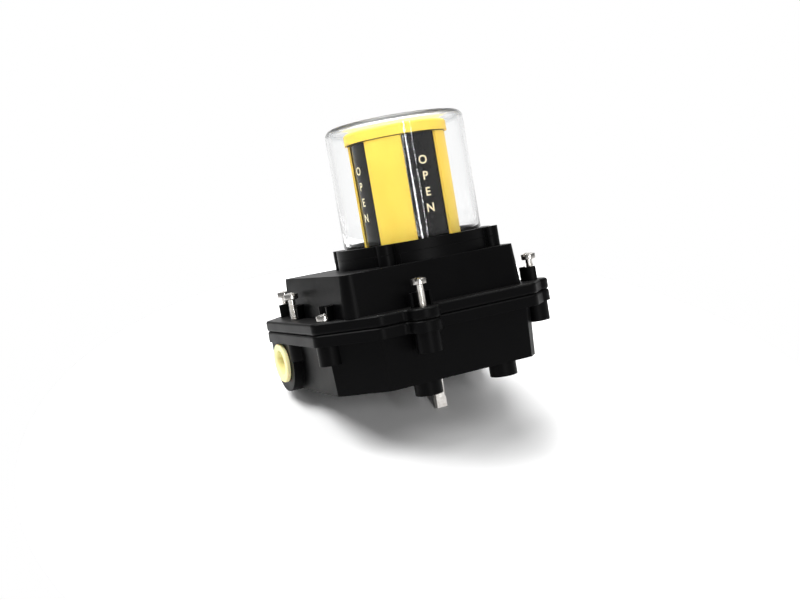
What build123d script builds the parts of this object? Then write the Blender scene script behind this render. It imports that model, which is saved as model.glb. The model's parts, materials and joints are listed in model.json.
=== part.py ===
from build123d import *
from math import acos, cos, pi, radians, sin, tan
import os

# Flameproof valve limit switch box with a domed position indicator.
# Millimetres, +Z up. The origin is on the shaft axis, in the plane of the mounting feet.

# ---------------------------------------------------------------- clearances
running_gap = 0.05
loose_gap = 0.3
thread_gap = 0.1
seat_gap = 0.02

# ---------------------------------------------------------------- housing levels
foot_height = 8.5
floor_thickness = 6.0
parting_level = 47.0
base_lip_height = 7.0
cover_flange_height = 7.0
raised_height = 25.0
pad_height = 6.5
cover_roof_thickness = 5.0

floor_top = foot_height + floor_thickness
flange_top = parting_level + cover_flange_height
raised_top = flange_top + raised_height
pad_top = raised_top + pad_height
cover_ceiling = raised_top - cover_roof_thickness

# ---------------------------------------------------------------- housing plan
flange_left = -88.0
flange_right = 58.0
flange_front = -62.0
flange_back = 72.0
front_left_cut = 30.0
small_cut = 12.0
flange_corner_radius = 7.0
lip_rounding = 1.6
wall_overhang = 8.0
wall_thickness = 10.0
wall_draft = 3.0

raised_left = -71.0
raised_right = 44.0
raised_front = -50.0
raised_back = 59.0
raised_corner_radius = 6.0
raised_draft = 4.0
raised_wall = 6.0

foot_spacing_x = 52.0
foot_spacing_y = 84.0
foot_radius = 8.5
foot_thread_radius = 3.0
foot_thread_depth = 12.0

# ---------------------------------------------------------------- cover screws
screw_radius = 2.5
screw_head_radius = 4.5
screw_head_height = 4.3
screw_slot_share = 0.3
screw_length = 24.0
screw_hole_depth = 17.8
ear_radius = 9.5
ear_blend_radius = 3.0
ear_boss_radius = 7.5
ear_boss_height = 19.0
guard_radius = 6.8
guard_wall = 1.5
guard_height = 8.5
raised_screw_lift = 12.8
raised_screw_points = [(-78.0, 27.0), (-70.0, 66.0), (-31.5, -65.0), (57.5, -40.5)]
driven_screw_points = [(-78.0, -27.0), (57.0, 14.0), (50.0, 65.0), (-12.0, 71.0)]
guard_turns = [180, 120, 270, 0, 180, 0, 45, 90]
screw_points = raised_screw_points + driven_screw_points

# ---------------------------------------------------------------- cable entries
entry_radius = 9.25
entry_level = 26.5
entry_offset = 44.0
entry_pad_radius = 19.0
entry_pad_setback = 3.0
plug_flange_radius = 12.75
plug_flange_thickness = 2.6
plug_shank_length = 11.0
plug_wall = 1.3

# ---------------------------------------------------------------- gasket
gasket_width = 2.5
gasket_depth = 2.0
gasket_inset = 13.5

# ---------------------------------------------------------------- drive shaft
shaft_radius = 4.5
drive_end_radius = 4.0
drive_end_top = 6.0
shaft_end_level = -18.5
tongue_thickness = 4.0
tongue_height = 7.0
bushing_wall = 2.0
bushing_flange_radius = 8.5
bushing_flange_thickness = 2.0
bushing_boss_radius = 12.0
bushing_boss_height = 11.5
washer_thickness = 1.0
washer_radius = 7.5
shoulder_radius = 7.0
shoulder_height = 3.0
cam_seat_radius = 6.0
spline_count = 12
spline_depth = 0.6
spline_width = 1.2
cam_radius = 15.0
cam_thickness = 8.0
cam_gap = 6.0
cam_grip_count = 24
cam_grip_radius = 0.9
target_radius = 2.5
target_thickness = 5.0
target_circle = 11.0
open_target_angle = 90
closed_target_angle = 180
spring_wire_radius = 0.6
spring_radius = 8.0
coupling_radius = 5.0
coupling_top = 67.0
coupling_slot_width = 2.4
coupling_slot_depth = 5.0
clip_thickness = 1.0
clip_radius = 7.0
clip_groove_depth = 0.8
seal_radius = 1.0

# ---------------------------------------------------------------- indicator train
gear_module = 0.8
pressure_angle = radians(20)
backlash = 0.12
gear_face = 3.6
spindle_gear_teeth = 15
lay_large_teeth = 20
lay_small_teeth = 14
mask_gear_teeth = 21
gear_recess_radius = 25.0
gear_recess_floor = raised_top + 1.0
gear_lift = 0.5
gear_step = 0.5
spindle_radius = 3.6
spindle_pin_radius = 2.5
spindle_pin_height = 14.0
spindle_flange_radius = 6.5
spindle_flange_thickness = 1.6
spindle_boss_radius = 8.0
spindle_boss_height = 5.0
lay_pin_radius = 1.5
lay_pin_depth = 3.5

# ---------------------------------------------------------------- indicator drum and mask
indicator_offset = 3.0
drum_radius = 29.2
drum_wall = 1.6
drum_top = 155.0
drum_floor_thickness = 2.0
mask_gap = 0.4
mask_wall = 1.4
mask_radius = drum_radius + mask_gap + mask_wall
mask_cap_overhang = 1.7
mask_cap_radius = mask_radius + mask_cap_overhang
mask_cap_thickness = 7.0
mask_tab_angle = 44.0
mask_tab_corner = 4.0
mask_tab_rise = 1.2
mask_cap_rise = 0.6
stem_radius = 5.0
mask_screw_radius = 2.0
mask_screw_head_radius = 3.8
mask_screw_head_height = 2.4
mask_screw_length = 12.0
drum_post_radius = 3.6
drum_post_circle = 19.0
drum_post_angles = (-40, -140)

# ---------------------------------------------------------------- dome and its clamp
dome_radius = 44.0
dome_wall = 3.0
dome_headroom = 1.4
dome_top = drum_top + mask_cap_rise + mask_cap_thickness + dome_headroom + dome_wall
dome_edge_radius = 5.0
dome_flange_width = 2.5
dome_flange_radius = dome_radius + dome_flange_width
dome_flange_thickness = 3.0
clamp_height = 6.0
clamp_wall = 3.0
clamp_radius = dome_flange_radius + clamp_wall
clamp_ear_radius = 5.4
clamp_ear_reach = 1.0
clamp_ear_circle = clamp_radius + clamp_ear_reach
clamp_ear_count = 4
clamp_ear_start = 45
clamp_screw_radius = 2.0
clamp_screw_head_radius = 3.5
clamp_screw_head_height = 2.4
clamp_screw_length = 12.0
clamp_socket_width = 3.0
clamp_socket_depth = 1.4
dome_seal_radius = 1.1
dome_seal_circle = dome_radius

# ---------------------------------------------------------------- switches and terminals
sensor_length = 28.0
sensor_depth = 15.0
sensor_height = 9.0
sensor_face_gap = 2.0
sensor_pitch = 20.6
bracket_thickness = 2.0
bracket_width = 46.0
bracket_foot = 12.0
bracket_top = 62.0
small_screw_radius = 1.5
small_head_radius = 2.75
small_head_height = 2.0
small_screw_length = 7.0
post_radius = 4.0
post_height = 6.0
strip_ways = 7
strip_pitch = 8.2
strip_width = 17.0
strip_height = 19.0
strip_x = -47.0
strip_wall = 3.0
strip_ear = 7.0
strip_ear_height = 5.0
clamp_pocket_depth = 4.0
clamp_head_height = 2.4
wire_hole_width = 5.0

# ================================================================ shared profiles


def flange_shape(margin=0.0):
    """Plan of the bolted flange, grown outwards by the margin."""
    corners = [
        (flange_left, flange_back - small_cut),
        (flange_left, flange_front + front_left_cut),
        (flange_left + front_left_cut, flange_front),
        (flange_right - small_cut, flange_front),
        (flange_right, flange_front + small_cut),
        (flange_right, flange_back - small_cut),
        (flange_right - small_cut, flange_back),
        (flange_left + small_cut, flange_back),
    ]
    with BuildSketch() as plan:
        with BuildLine():
            Polyline(*corners, close=True)
        make_face()
        fillet(plan.vertices(), flange_corner_radius)
        if margin:
            offset(amount=margin)
    return plan.sketch


def bolted_shape():
    """Plan of the flange with an ear round each cover screw, the corners between them eased."""
    with BuildSketch() as plan:
        add(flange_shape())
        with Locations(*screw_points):
            Circle(ear_radius)
        offset(amount=ear_blend_radius)
        offset(amount=-ear_blend_radius)
    return plan.sketch


def raised_shape(margin=0.0):
    """Plan of the raised part of the cover, grown outwards by the margin."""
    length = raised_right - raised_left + 2 * margin
    width = raised_back - raised_front + 2 * margin
    with BuildSketch() as plan:
        with Locations(((raised_left + raised_right) / 2, (raised_front + raised_back) / 2)):
            RectangleRounded(length, width, raised_corner_radius)
    return plan.sketch


def clamp_shape(margin=0.0):
    """Plan shared by the dome clamp and the pad under it: a disc with four screw ears."""
    with BuildSketch() as plan:
        Circle(clamp_radius + margin)
        with PolarLocations(clamp_ear_circle, clamp_ear_count, start_angle=clamp_ear_start):
            Circle(clamp_ear_radius + margin)
        with PolarLocations(clamp_radius - clamp_ear_radius, clamp_ear_count, start_angle=clamp_ear_start):
            Rectangle(2 * clamp_ear_radius, 3 * clamp_ear_radius)
    return plan.sketch


def guard_shape():
    """Half ring that shields a screw head, open on its local +X side."""
    with BuildSketch() as plan:
        Circle(guard_radius)
        Circle(guard_radius - guard_wall, mode=Mode.SUBTRACT)
        with Locations((guard_radius, 0)):
            Rectangle(2 * guard_radius, 2 * guard_radius, mode=Mode.SUBTRACT)
    return plan.sketch


def circle_points(radius, angles):
    """Points on a circle about the shaft axis, their angles in degrees."""
    return [(radius * cos(radians(angle)), radius * sin(radians(angle))) for angle in angles]


def involute(angle):
    """Involute function of a pressure angle."""
    return tan(angle) - angle


def gear_shape(teeth, start_angle):
    """Spur gear with involute flanks; one tooth is centred on the start angle."""
    pitch_radius = gear_module * teeth / 2
    base_radius = pitch_radius * cos(pressure_angle)
    tip_radius = pitch_radius + gear_module
    root_radius = pitch_radius - 1.25 * gear_module
    half_tooth = pi / (2 * teeth) - backlash / (2 * pitch_radius)

    def flank_point(radius, side):
        turn = half_tooth + involute(pressure_angle)
        if radius > base_radius:
            turn -= involute(acos(base_radius / radius))
        return (radius * cos(turn), side * radius * sin(turn))

    flank_start = max(base_radius, root_radius)
    flank_radii = [flank_start, (flank_start + tip_radius) / 2, tip_radius]
    with BuildSketch() as tooth:
        with BuildLine():
            right = Spline(*[flank_point(radius, -1) for radius in flank_radii])
            left = Spline(*[flank_point(radius, 1) for radius in flank_radii])
            Line(right @ 1, left @ 1)
            Polyline(right @ 0, flank_point(root_radius / 2, -1), flank_point(root_radius / 2, 1), left @ 0)
        make_face()
    with BuildSketch() as gear:
        Circle(root_radius)
        with PolarLocations(0, teeth, start_angle=start_angle):
            add(tooth.sketch)
    return gear.sketch


def slotted_screw(points, level, length, radius, head_radius, head_height):
    """Upright screws with slotted cheese heads, the undersides of the heads at the level."""
    with BuildPart() as screws:
        with BuildSketch(Plane.XY.offset(level - length)):
            with Locations(*points):
                Circle(radius)
        extrude(amount=length)
        with BuildSketch(Plane.XY.offset(level)):
            with Locations(*points):
                Circle(head_radius)
        extrude(amount=head_height)
        with BuildSketch(Plane.XY.offset(level + head_height)):
            with Locations(*points):
                Rectangle(3 * head_radius, screw_slot_share * head_radius)
        extrude(amount=-head_height / 2, mode=Mode.SUBTRACT)
    return screws.part


def save(piece, name):
    """Label one finished piece and write it as its own file."""
    piece.label = name
    export_step(piece, f"parts/{name}.step")


os.makedirs("parts", exist_ok=True)

# ================================================================ base housing
entry_pad_ends = [(flange_left + entry_pad_setback, 1), (flange_right - entry_pad_setback, -1)]
entry_pad_depth = wall_overhang + wall_thickness
bushing_level = floor_top + bushing_boss_height
bushing_bore = shaft_radius + running_gap
bushing_radius = shaft_radius + bushing_wall
bracket_y = cam_radius + sensor_face_gap + sensor_depth
bracket_screw_y = bracket_y + bracket_foot / 2
post_points = [(-bracket_width / 3, bracket_screw_y), (bracket_width / 3, bracket_screw_y)]
strip_length = strip_ways * strip_pitch
strip_post_y = strip_length / 2 + strip_ear / 2
strip_points = [(strip_x, -strip_post_y), (strip_x, strip_post_y)]
post_top = floor_top + post_height

with BuildPart() as base_housing:
    with BuildSketch(Plane.XY.offset(foot_height)):
        add(flange_shape(-wall_overhang - (parting_level - foot_height) * tan(radians(wall_draft))))
    extrude(amount=parting_level - foot_height, taper=-wall_draft)
    with BuildSketch(Plane.XY.offset(parting_level - base_lip_height)):
        add(bolted_shape())
    lip = extrude(amount=base_lip_height)
    fillet(lip.faces().sort_by(Axis.Z)[-1].outer_wire().edges(), lip_rounding)
    with BuildSketch(Plane.XY.offset(parting_level - ear_boss_height)):
        with Locations(*screw_points):
            Circle(ear_boss_radius)
    extrude(amount=ear_boss_height - base_lip_height)
    with BuildSketch(Plane.XY):
        with GridLocations(foot_spacing_x, foot_spacing_y, 2, 2):
            Circle(foot_radius)
    extrude(amount=foot_height + floor_thickness)
    for pad_x, inward in entry_pad_ends:
        with BuildSketch(Plane.YZ.offset(pad_x)):
            with Locations((entry_offset, entry_level)):
                Circle(entry_pad_radius)
            with Locations((entry_offset, (entry_level + parting_level - base_lip_height) / 2)):
                Rectangle(2 * entry_pad_radius, parting_level - base_lip_height - entry_level)
        extrude(amount=inward * entry_pad_depth)
    with BuildSketch(Plane.XY.offset(floor_top)):
        add(flange_shape(-wall_overhang - wall_thickness))
    extrude(amount=parting_level - floor_top, mode=Mode.SUBTRACT)
    with BuildSketch(Plane.XY.offset(floor_top)):
        Circle(bushing_boss_radius)
    extrude(amount=bushing_boss_height)
    with BuildSketch(Plane.XY.offset(floor_top)):
        with Locations(*post_points, *strip_points):
            Circle(post_radius)
    extrude(amount=post_height)
    for pad_x, inward in entry_pad_ends:
        with BuildSketch(Plane.YZ.offset(pad_x)):
            with Locations((entry_offset, entry_level)):
                Circle(entry_radius)
        extrude(amount=inward * (entry_pad_depth + wall_thickness), mode=Mode.SUBTRACT)
    with Locations((0, 0, bushing_level)):
        Hole(bushing_radius)
    with Locations(*[(x, y, post_top) for x, y in post_points + strip_points]):
        Hole(small_screw_radius + thread_gap, depth=small_screw_length)
    with Locations(*[(x, y, parting_level) for x, y in screw_points]):
        Hole(screw_radius + thread_gap, depth=screw_hole_depth)
    with BuildSketch(Plane.XY):
        with GridLocations(foot_spacing_x, foot_spacing_y, 2, 2):
            Circle(foot_thread_radius)
    extrude(amount=foot_thread_depth, mode=Mode.SUBTRACT)
    with BuildSketch(Plane.XY.offset(parting_level)):
        add(flange_shape(-gasket_inset))
        add(flange_shape(-gasket_inset - gasket_width), mode=Mode.SUBTRACT)
    extrude(amount=-gasket_depth, mode=Mode.SUBTRACT)
save(base_housing.part, "base_housing")

with BuildPart() as cover_gasket:
    with BuildSketch(Plane.XY.offset(parting_level - gasket_depth)):
        add(flange_shape(-gasket_inset - seat_gap))
        add(flange_shape(-gasket_inset - gasket_width + seat_gap), mode=Mode.SUBTRACT)
    extrude(amount=gasket_depth)
save(cover_gasket.part, "cover_gasket")

with BuildPart() as lower_bushing:
    with BuildSketch(Plane.XY.offset(foot_height)):
        Circle(bushing_radius - seat_gap)
    extrude(amount=bushing_level - foot_height)
    with BuildSketch(Plane.XY.offset(bushing_level)):
        Circle(bushing_flange_radius)
    extrude(amount=bushing_flange_thickness)
    with Locations((0, 0, bushing_level + bushing_flange_thickness)):
        Hole(bushing_bore)
    seal_level = foot_height + floor_thickness / 2
    with BuildSketch(Plane.XY.offset(seal_level - seal_radius)):
        Circle(shaft_radius + 1.5 * seal_radius)
    extrude(amount=2 * seal_radius, mode=Mode.SUBTRACT)
save(lower_bushing.part, "lower_bushing")

with BuildPart() as shaft_seal:
    with BuildSketch(Plane.XY.offset(seal_level - seal_radius + seat_gap)):
        Circle(shaft_radius + 1.5 * seal_radius - seat_gap)
        Circle(shaft_radius + running_gap, mode=Mode.SUBTRACT)
    extrude(amount=2 * seal_radius - 2 * seat_gap)
    fillet(shaft_seal.edges().filter_by(GeomType.CIRCLE), seal_radius / 4)
save(shaft_seal.part, "shaft_seal")

# ================================================================ cable entry plug
plug_face_x = flange_left + entry_pad_setback
with BuildPart() as conduit_plug:
    with BuildSketch(Plane.YZ.offset(plug_face_x)):
        with Locations((entry_offset, entry_level)):
            Circle(plug_flange_radius)
    extrude(amount=-plug_flange_thickness)
    fillet(conduit_plug.edges().group_by(Axis.X)[0], plug_flange_thickness / 3)
    with BuildSketch(Plane.YZ.offset(plug_face_x)):
        with Locations((entry_offset, entry_level)):
            Circle(entry_radius - thread_gap)
    extrude(amount=plug_shank_length)
    with BuildSketch(Plane.YZ.offset(plug_face_x - plug_flange_thickness)):
        with Locations((entry_offset, entry_level)):
            Circle(entry_radius - thread_gap - plug_wall)
    extrude(amount=plug_flange_thickness + plug_shank_length - plug_wall, mode=Mode.SUBTRACT)
save(conduit_plug.part, "conduit_plug")

# ================================================================ drive shaft and cams
washer_level = bushing_level + bushing_flange_thickness
shoulder_level = washer_level + washer_thickness
cam_level = shoulder_level + shoulder_height
upper_cam_level = cam_level + cam_thickness + cam_gap
cam_top = upper_cam_level + cam_thickness

with BuildPart() as drive_shaft:
    with BuildSketch(Plane.XY.offset(shaft_end_level)):
        Circle(drive_end_radius)
    extrude(amount=drive_end_top - shaft_end_level)
    with BuildSketch(Plane.XY.offset(drive_end_top)):
        Circle(shaft_radius)
    extrude(amount=shoulder_level - drive_end_top)
    with BuildSketch(Plane.XY.offset(shoulder_level)):
        Circle(shoulder_radius)
    extrude(amount=shoulder_height)
    with BuildSketch(Plane.XY.offset(cam_level)):
        Circle(cam_seat_radius - spline_depth)
        with PolarLocations(cam_seat_radius - spline_depth, spline_count):
            Rectangle(2 * spline_depth, spline_width)
    extrude(amount=cam_top + clip_thickness - cam_level)
    with BuildSketch(Plane.XY.offset(cam_top)):
        Circle(coupling_radius)
    extrude(amount=coupling_top - cam_top)
    with BuildSketch(Plane.XY.offset(shaft_end_level)):
        Rectangle(4 * shaft_radius, 4 * shaft_radius)
        Rectangle(4 * shaft_radius, tongue_thickness, mode=Mode.SUBTRACT)
    extrude(amount=tongue_height, mode=Mode.SUBTRACT)
    with BuildSketch(Plane.XY.offset(foot_height - loose_gap - clip_thickness - 2 * seat_gap)):
        Circle(2 * shaft_radius)
        Circle(shaft_radius - clip_groove_depth, mode=Mode.SUBTRACT)
    extrude(amount=clip_thickness + 2 * seat_gap, mode=Mode.SUBTRACT)
    with BuildSketch(Plane.XY.offset(coupling_top - coupling_slot_depth)):
        Rectangle(4 * coupling_radius, coupling_slot_width)
    extrude(amount=coupling_slot_depth, mode=Mode.SUBTRACT)
save(drive_shaft.part, "drive_shaft")

with BuildPart() as thrust_washer:
    with BuildSketch(Plane.XY.offset(washer_level)):
        Circle(washer_radius)
        Circle(shaft_radius + running_gap, mode=Mode.SUBTRACT)
    extrude(amount=washer_thickness)
save(thrust_washer.part, "thrust_washer")

with BuildPart() as retaining_ring:
    with BuildSketch(Plane.XY.offset(foot_height - loose_gap - clip_thickness - seat_gap)):
        Circle(clip_radius)
        Circle(shaft_radius - clip_groove_depth + seat_gap, mode=Mode.SUBTRACT)
        with Locations((clip_radius, 0)):
            Rectangle(2 * clip_radius, shaft_radius, mode=Mode.SUBTRACT)
    extrude(amount=clip_thickness)
save(retaining_ring.part, "retaining_ring")


def cam(level, target_angle):
    """Adjustable cam: a grooved disc with a splined bore and a pocket for its target."""
    with BuildPart() as disc:
        with BuildSketch(Plane.XY.offset(level)):
            Circle(cam_radius)
            Circle(cam_seat_radius - spline_depth + thread_gap, mode=Mode.SUBTRACT)
            with PolarLocations(cam_seat_radius - spline_depth, spline_count):
                Rectangle(2 * spline_depth + 2 * thread_gap, spline_width + 2 * thread_gap, mode=Mode.SUBTRACT)
            with PolarLocations(cam_radius, cam_grip_count, start_angle=target_angle + 180 / cam_grip_count):
                Circle(cam_grip_radius, mode=Mode.SUBTRACT)
        extrude(amount=cam_thickness)
        with BuildSketch(Plane.XY.offset(level + cam_thickness)):
            with PolarLocations(target_circle, 1, start_angle=target_angle):
                Circle(target_radius)
        extrude(amount=-target_thickness, mode=Mode.SUBTRACT)
    return disc.part


def cam_target(level, target_angle):
    """Steel disc that the sensor sees, set in the top of a cam."""
    with BuildPart() as disc:
        with BuildSketch(Plane.XY.offset(level + cam_thickness - target_thickness)):
            with PolarLocations(target_circle, 1, start_angle=target_angle):
                Circle(target_radius - seat_gap)
        extrude(amount=target_thickness)
    return disc.part


save(cam(cam_level, open_target_angle), "open_cam")
save(cam(upper_cam_level, closed_target_angle), "closed_cam")

with BuildPart() as cam_targets:
    add(cam_target(cam_level, open_target_angle))
    add(cam_target(upper_cam_level, closed_target_angle))
save(cam_targets.part, "cam_targets")

spring_length = cam_gap - 2 * spring_wire_radius - 2 * running_gap
with BuildPart() as cam_spring:
    with BuildLine(Plane.XY.offset(cam_level + cam_thickness + spring_wire_radius + running_gap)):
        coil = Helix(pitch=spring_length / 2, height=spring_length, radius=spring_radius)
    with BuildSketch(Plane(origin=coil @ 0, z_dir=coil % 0)):
        Circle(spring_wire_radius)
    sweep(path=coil)
save(cam_spring.part, "cam_spring")

with BuildPart() as cam_clip:
    with BuildSketch(Plane.XY.offset(cam_top + clip_thickness)):
        Circle(cam_seat_radius + 2 * clip_thickness)
        Circle(coupling_radius + seat_gap, mode=Mode.SUBTRACT)
    extrude(amount=clip_thickness)
save(cam_clip.part, "cam_clip")

# ================================================================ sensors, bracket and terminals
sensor_center_y = cam_radius + sensor_face_gap + sensor_depth / 2


def sensor(cam_bottom):
    """Snap-in proximity sensor in the usual microswitch outline, level with one cam."""
    with BuildPart() as block:
        with BuildSketch(Plane.XY.offset(cam_bottom)):
            with Locations((0, sensor_center_y)):
                RectangleRounded(sensor_length, sensor_depth, 1.0)
            with GridLocations(sensor_pitch, 1, 2, 1):
                with Locations((0, sensor_center_y)):
                    Circle(small_screw_radius + thread_gap, mode=Mode.SUBTRACT)
        extrude(amount=sensor_height)
        with BuildSketch(Plane.XZ.offset(-sensor_center_y + sensor_depth / 2)):
            with Locations((0, cam_bottom + sensor_height / 2)):
                Circle(sensor_height / 3)
        extrude(amount=sensor_face_gap / 4)
    return block.part


save(sensor(cam_level), "open_sensor")
save(sensor(upper_cam_level), "closed_sensor")

with BuildPart() as sensor_bracket:
    with BuildSketch(Plane.XY.offset(post_top)):
        with Locations((0, bracket_y + bracket_foot / 2)):
            Rectangle(bracket_width, bracket_foot)
    extrude(amount=bracket_thickness)
    with BuildSketch(Plane.XY.offset(post_top)):
        with Locations((0, bracket_y + bracket_thickness / 2)):
            Rectangle(bracket_width, bracket_thickness)
    extrude(amount=bracket_top - post_top)
    for cam_bottom in (cam_level, upper_cam_level):
        with BuildSketch(Plane.XY.offset(cam_bottom - bracket_thickness)):
            with Locations((0, sensor_center_y + bracket_thickness / 2)):
                Rectangle(bracket_width, sensor_depth - bracket_thickness)
        extrude(amount=bracket_thickness)
    with Locations(*[(x, y, post_top + bracket_thickness) for x, y in post_points]):
        Hole(small_screw_radius + thread_gap, depth=bracket_thickness)
    with Locations(*[(side * sensor_pitch / 2, sensor_center_y, bracket_top) for side in (-1, 1)]):
        Hole(small_screw_radius + thread_gap, depth=bracket_top - cam_level + bracket_thickness)
save(sensor_bracket.part, "sensor_bracket")

sensor_screw_points = [(side * sensor_pitch / 2, sensor_center_y) for side in (-1, 1)]
sensor_screw_length = sensor_height + bracket_thickness
with BuildPart() as sensor_screws:
    for cam_bottom in (cam_level, upper_cam_level):
        add(
            slotted_screw(
                sensor_screw_points,
                cam_bottom + sensor_height,
                sensor_screw_length,
                small_screw_radius,
                small_head_radius,
                small_head_height,
            )
        )
save(sensor_screws.part, "sensor_screws")

bracket_screws = slotted_screw(
    post_points,
    post_top + bracket_thickness,
    small_screw_length,
    small_screw_radius,
    small_head_radius,
    small_head_height,
)
save(bracket_screws, "bracket_screws")

way_ys = [(way - (strip_ways - 1) / 2) * strip_pitch for way in range(strip_ways)]
way_sides = [strip_x - strip_width / 4, strip_x + strip_width / 4]
clamp_points = [(x, y) for x in way_sides for y in way_ys]
with BuildPart() as terminal_strip:
    with BuildSketch(Plane.XY.offset(post_top)):
        with Locations((strip_x, 0)):
            Rectangle(strip_width, strip_length + 2 * strip_ear)
    extrude(amount=strip_ear_height)
    with BuildSketch(Plane.XY.offset(post_top + strip_ear_height)):
        with Locations((strip_x, 0)):
            Rectangle(strip_width, strip_length)
    extrude(amount=strip_height - strip_ear_height)
    with BuildSketch(Plane.XY.offset(post_top + strip_height)):
        with Locations(*clamp_points):
            Circle(small_head_radius + thread_gap)
    extrude(amount=-clamp_pocket_depth, mode=Mode.SUBTRACT)
    with BuildSketch(Plane.YZ.offset(strip_x - strip_width / 2)):
        with Locations(*[(y, post_top + strip_height / 2) for y in way_ys]):
            Rectangle(wire_hole_width, wire_hole_width)
    extrude(amount=strip_wall, mode=Mode.SUBTRACT)
    with BuildSketch(Plane.YZ.offset(strip_x + strip_width / 2)):
        with Locations(*[(y, post_top + strip_height / 2) for y in way_ys]):
            Rectangle(wire_hole_width, wire_hole_width)
    extrude(amount=-strip_wall, mode=Mode.SUBTRACT)
    with Locations(*[(x, y, post_top + strip_ear_height) for x, y in strip_points]):
        Hole(small_screw_radius + thread_gap, depth=strip_ear_height)
save(terminal_strip.part, "terminal_strip")

with BuildPart() as terminal_clamps:
    with BuildSketch(Plane.XY.offset(post_top + strip_height - clamp_pocket_depth)):
        with Locations(*clamp_points):
            Circle(small_head_radius)
    extrude(amount=clamp_head_height)
    with BuildSketch(Plane.XY.offset(post_top + strip_height - clamp_pocket_depth + clamp_head_height)):
        with Locations(*clamp_points):
            Rectangle(3 * small_head_radius, screw_slot_share * small_head_radius)
    extrude(amount=-clamp_head_height / 2, mode=Mode.SUBTRACT)
save(terminal_clamps.part, "terminal_clamps")

strip_screws = slotted_screw(
    strip_points,
    post_top + strip_ear_height,
    small_screw_length + strip_ear_height - bracket_thickness,
    small_screw_radius,
    small_head_radius,
    small_head_height,
)
save(strip_screws, "strip_screws")

# ================================================================ cover
spindle_boss_level = cover_ceiling - spindle_boss_height
lay_distance = gear_module * (spindle_gear_teeth + lay_large_teeth) / 2
lay_point = (0, lay_distance)
drum_floor_level = gear_recess_floor + gear_lift + 2 * gear_face + gear_step + 2 * gear_lift
drum_post_points = circle_points(drum_post_circle, drum_post_angles)
clamp_screw_points = circle_points(
    clamp_ear_circle, [clamp_ear_start + 360 * index / clamp_ear_count for index in range(clamp_ear_count)]
)

with BuildPart() as cover:
    with BuildSketch(Plane.XY.offset(parting_level)):
        add(bolted_shape())
    extrude(amount=cover_flange_height)
    for face in (cover.faces().sort_by(Axis.Z)[0], cover.faces().sort_by(Axis.Z)[-1]):
        fillet(face.outer_wire().edges(), lip_rounding)
    with BuildSketch(Plane.XY.offset(flange_top)):
        for point, turn in zip(screw_points, guard_turns):
            with Locations(Location((*point, 0), (0, 0, turn))):
                add(guard_shape())
    extrude(amount=guard_height)
    with BuildSketch(Plane.XY.offset(raised_top)):
        add(raised_shape())
    extrude(amount=-raised_height, taper=-raised_draft)
    with BuildSketch(Plane.XY.offset(raised_top)):
        add(clamp_shape())
    extrude(amount=pad_height)
    with BuildSketch(Plane.XY.offset(cover_ceiling)):
        add(raised_shape(-raised_wall))
    extrude(amount=parting_level - cover_ceiling, mode=Mode.SUBTRACT)
    with BuildSketch(Plane.XY.offset(cover_ceiling)):
        Circle(spindle_boss_radius)
    extrude(amount=-spindle_boss_height)
    with BuildSketch(Plane.XY.offset(gear_recess_floor)):
        Circle(gear_recess_radius)
    extrude(amount=pad_top - gear_recess_floor, mode=Mode.SUBTRACT)
    with BuildSketch(Plane.XY.offset(gear_recess_floor)):
        with Locations(*drum_post_points):
            Circle(drum_post_radius)
    extrude(amount=drum_floor_level - gear_recess_floor)
    with Locations((0, 0, gear_recess_floor)):
        Hole(spindle_radius + running_gap)
    with Locations((*lay_point, gear_recess_floor)):
        Hole(lay_pin_radius, depth=lay_pin_depth)
    with Locations(*[(x, y, drum_floor_level) for x, y in drum_post_points]):
        Hole(small_screw_radius + thread_gap, depth=small_screw_length)
    with Locations(*[(x, y, pad_top) for x, y in clamp_screw_points]):
        Hole(clamp_screw_radius + thread_gap, depth=clamp_screw_length - clamp_height + clamp_screw_head_height)
    with Locations(*[(x, y, flange_top) for x, y in screw_points]):
        Hole(screw_radius + loose_gap, depth=cover_flange_height)
    with BuildSketch(Plane.XY.offset(pad_top)):
        Circle(dome_seal_circle + dome_seal_radius)
        Circle(dome_seal_circle - dome_seal_radius, mode=Mode.SUBTRACT)
    extrude(amount=-2 * dome_seal_radius, mode=Mode.SUBTRACT)
save(cover.part, "cover")

# ================================================================ dome, seal and clamp
with BuildPart() as dome_gasket:
    with BuildSketch(Plane.XY.offset(pad_top - 2 * dome_seal_radius)):
        Circle(dome_seal_circle + dome_seal_radius - seat_gap)
        Circle(dome_seal_circle - dome_seal_radius + seat_gap, mode=Mode.SUBTRACT)
    extrude(amount=2 * dome_seal_radius)
save(dome_gasket.part, "dome_gasket")

with BuildPart() as dome:
    with BuildSketch(Plane.XY.offset(pad_top)):
        Circle(dome_radius)
    extrude(amount=dome_top - pad_top)
    fillet(dome.edges().group_by(Axis.Z)[-1], dome_edge_radius)
    with BuildSketch(Plane.XY.offset(pad_top)):
        Circle(dome_flange_radius)
    extrude(amount=dome_flange_thickness)
    with BuildSketch(Plane.XY.offset(pad_top)):
        Circle(dome_radius - dome_wall)
    cavity = extrude(amount=dome_top - dome_wall - pad_top, mode=Mode.SUBTRACT)
    cavity_edge = dome.edges().filter_by(GeomType.CIRCLE).filter_by(
        lambda edge: abs(edge.center().Z - dome_top + dome_wall) < seat_gap
    )
    fillet(cavity_edge, dome_edge_radius - dome_wall)
save(dome.part, "dome")

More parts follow.
